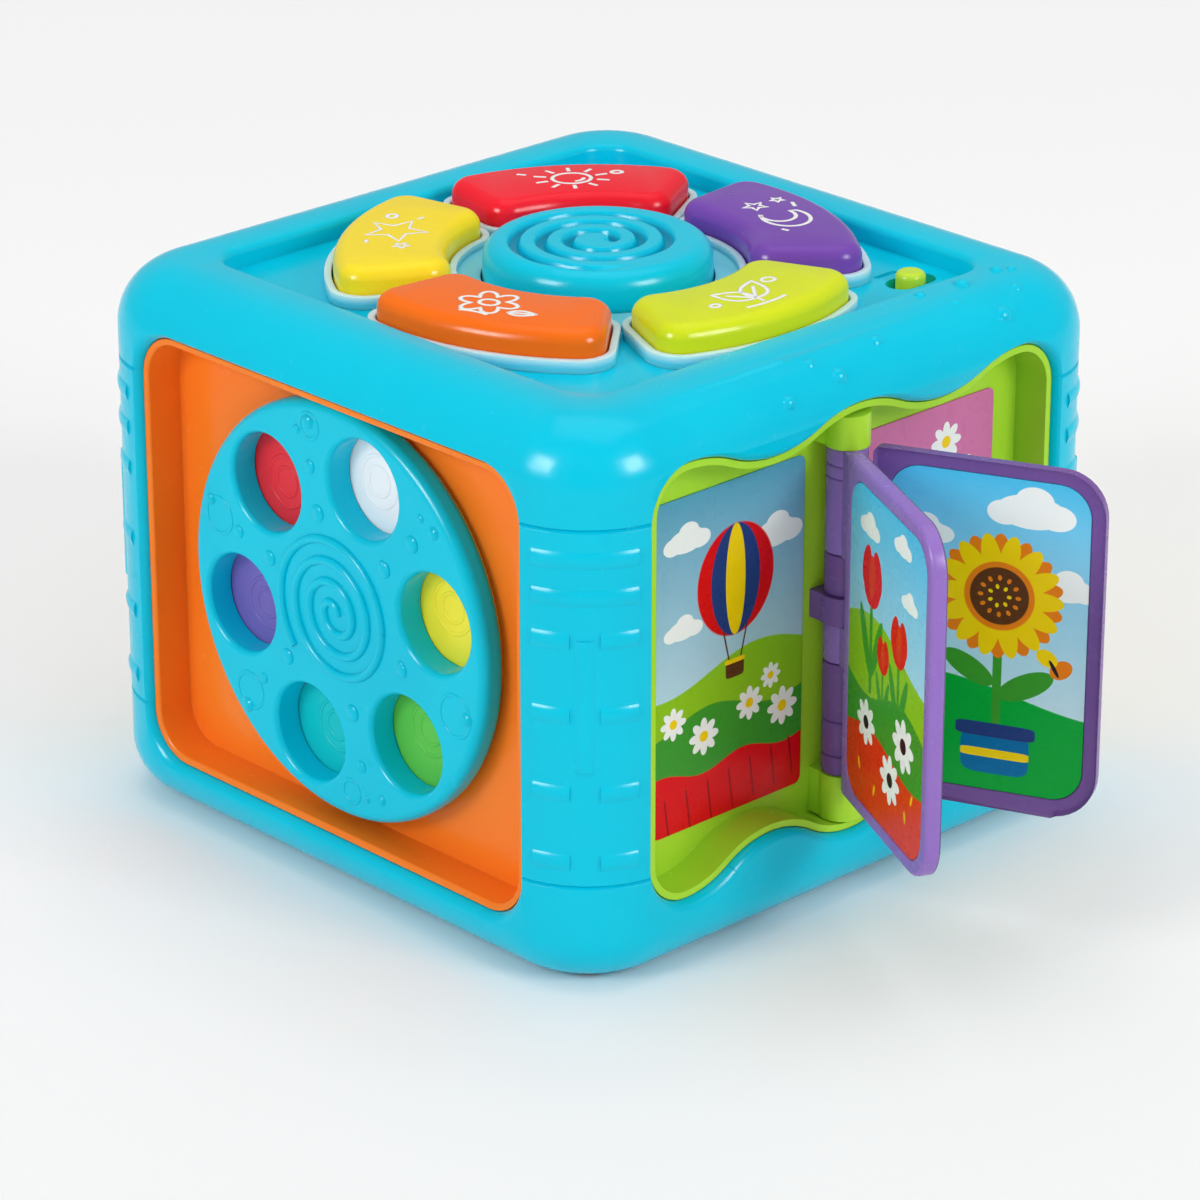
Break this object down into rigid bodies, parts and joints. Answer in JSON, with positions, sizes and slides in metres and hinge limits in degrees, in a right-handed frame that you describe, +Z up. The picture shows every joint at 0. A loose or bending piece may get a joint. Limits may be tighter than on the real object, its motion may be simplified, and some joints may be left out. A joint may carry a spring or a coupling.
{
  "type": "activity cube",
  "caption": "Rounded toy cube with sprung light buttons on top, a peep-hole wheel, a hinged picture book, meshed gears and free rollers on its sides.",
  "frame": {"origin": "middle of the flat underside", "axes": "+Z up, -Y out of the wheel side, +X out of the book side"},
  "size_m": [0.2313, 0.18, 0.1448],
  "materials": {
    "cyan_shell": "glossy moulded cyan",
    "orange_plastic": "glossy moulded orange",
    "lime_plastic": "glossy moulded leaf green",
    "yellow_plastic": "glossy moulded yellow",
    "violet_plastic": "satin moulded violet",
    "red_plastic": "glossy moulded red",
    "lime_button": "glossy yellow-green",
    "purple_button": "glossy purple",
    "clear_rim": "milky clear plastic",
    "green_lens": "clear green",
    "white_pad": "satin white",
    "green_pad": "satin green",
    "teal_pad": "satin teal",
    "red_pad": "satin red",
    "yellow_pad": "satin yellow",
    "purple_pad": "satin purple",
    "printed_card": "printed card",
    "steel": "plain steel",
    "board": "green laminate",
    "dark_plastic": "dark moulded plastic",
    "led": "clear dome",
    "cell": "wrapped cell"
  },
  "bodies": {
    "housing": {"top_cover": "cyan_shell", "base_cover": "cyan_shell", "post_near": "cyan_shell", "post_right": "cyan_shell", "post_back": "cyan_shell", "post_left": "cyan_shell", "wheel_panel": "orange_plastic", "book_panel": "lime_plastic", "gear_panel": "yellow_plastic", "roller_panel": "violet_plastic", "light_bezel": "clear_rim", "power_lens": "green_lens", "pad_red": "red_pad", "pad_white": "white_pad", "pad_yellow": "yellow_pad", "pad_green": "green_pad", "pad_teal": "teal_pad", "pad_purple": "purple_pad", "spine_rod": "steel", "spine_cap_top": "lime_plastic", "spine_cap_low": "lime_plastic", "spine_collar": "violet_plastic", "picture_left": "printed_card", "picture_right": "printed_card", "gear_caps": "orange_plastic", "circuit_board": "board", "switches": "dark_plastic", "leds": "led", "board_screws": "steel", "slide_switch": "dark_plastic", "speaker": "dark_plastic", "battery_box": "dark_plastic", "batteries": "cell", "battery_contacts": "steel", "battery_door": "cyan_shell", "door_screw": "steel", "housing_screws": "steel"},
    "lime_key": {"button_lime": "lime_button"},
    "purple_key": {"button_purple": "purple_button"},
    "red_key": {"button_red": "red_plastic"},
    "yellow_key": {"button_yellow": "yellow_plastic"},
    "orange_key": {"button_orange": "orange_plastic"},
    "hub_key": {"hub_button": "cyan_shell"},
    "slider": {"power_slider": "lime_plastic"},
    "wheel": {"spin_wheel": "cyan_shell", "wheel_washer": "steel", "wheel_screw": "steel"},
    "near_page": {"page_near": "violet_plastic", "near_card_front": "printed_card", "near_card_back": "printed_card"},
    "far_page": {"page_far": "violet_plastic", "far_card_front": "printed_card", "far_card_back": "printed_card"},
    "left_gear": {"gear_left": "red_plastic"},
    "middle_gear": {"gear_middle": "cyan_shell"},
    "right_gear": {"gear_right": "lime_plastic"},
    "top_roller": {"roller_top": "red_plastic"},
    "mid_roller": {"roller_mid": "yellow_plastic"},
    "low_roller": {"roller_low": "lime_plastic"}
  },
  "joints": [
    {"name": "lime_press", "type": "slide", "parent": "housing", "child": "lime_key", "axis": [0, 0, -1], "range_m": [0, 0.002], "stiffness_N_per_m": 500, "springref_m": -0.001},
    {"name": "purple_press", "type": "slide", "parent": "housing", "child": "purple_key", "axis": [0, 0, -1], "range_m": [0, 0.002], "stiffness_N_per_m": 500, "springref_m": -0.001},
    {"name": "red_press", "type": "slide", "parent": "housing", "child": "red_key", "axis": [0, 0, -1], "range_m": [0, 0.002], "stiffness_N_per_m": 500, "springref_m": -0.001},
    {"name": "yellow_press", "type": "slide", "parent": "housing", "child": "yellow_key", "axis": [0, 0, -1], "range_m": [0, 0.002], "stiffness_N_per_m": 500, "springref_m": -0.001},
    {"name": "orange_press", "type": "slide", "parent": "housing", "child": "orange_key", "axis": [0, 0, -1], "range_m": [0, 0.002], "stiffness_N_per_m": 500, "springref_m": -0.001},
    {"name": "hub_press", "type": "slide", "parent": "housing", "child": "hub_key", "axis": [0, 0, -1], "range_m": [0, 0.002], "stiffness_N_per_m": 500, "springref_m": -0.001},
    {"name": "power_slide", "type": "slide", "parent": "housing", "child": "slider", "axis": [0, 1, 0], "range_m": [-0.0028, 0.0028]},
    {"name": "wheel_spin", "type": "hinge", "parent": "housing", "child": "wheel", "pos_m": [0, -0.0858, 0.0712], "axis": [0, -1, 0], "continuous": true},
    {"name": "near_page_turn", "type": "hinge", "parent": "housing", "child": "near_page", "pos_m": [0.0843, 0, 0.072], "axis": [0, 0, 1], "range_deg": [-64, 26]},
    {"name": "far_page_turn", "type": "hinge", "parent": "housing", "child": "far_page", "pos_m": [0.0843, 0, 0.072], "axis": [0, 0, 1], "range_deg": [-25, 65]},
    {"name": "left_gear_spin", "type": "hinge", "parent": "housing", "child": "left_gear", "pos_m": [0.034, 0.085, 0.08054], "axis": [0, 1, 0], "continuous": true},
    {"name": "middle_gear_spin", "type": "hinge", "parent": "housing", "child": "middle_gear", "pos_m": [0, 0.085, 0.05946], "axis": [0, 1, 0], "continuous": true},
    {"name": "right_gear_spin", "type": "hinge", "parent": "housing", "child": "right_gear", "pos_m": [-0.034, 0.085, 0.08054], "axis": [0, 1, 0], "continuous": true},
    {"name": "top_roller_spin", "type": "hinge", "parent": "housing", "child": "top_roller", "pos_m": [-0.0795, 0, 0.098], "axis": [0, 1, 0], "continuous": true},
    {"name": "mid_roller_spin", "type": "hinge", "parent": "housing", "child": "mid_roller", "pos_m": [-0.0795, 0, 0.07], "axis": [0, 1, 0], "continuous": true},
    {"name": "low_roller_spin", "type": "hinge", "parent": "housing", "child": "low_roller", "pos_m": [-0.0795, 0, 0.042], "axis": [0, 1, 0], "continuous": true}
  ],
  "couplings": [
    {"joint": "left_gear_spin", "follows": "middle_gear_spin", "ratio": -1},
    {"joint": "right_gear_spin", "follows": "middle_gear_spin", "ratio": -1}
  ]
}
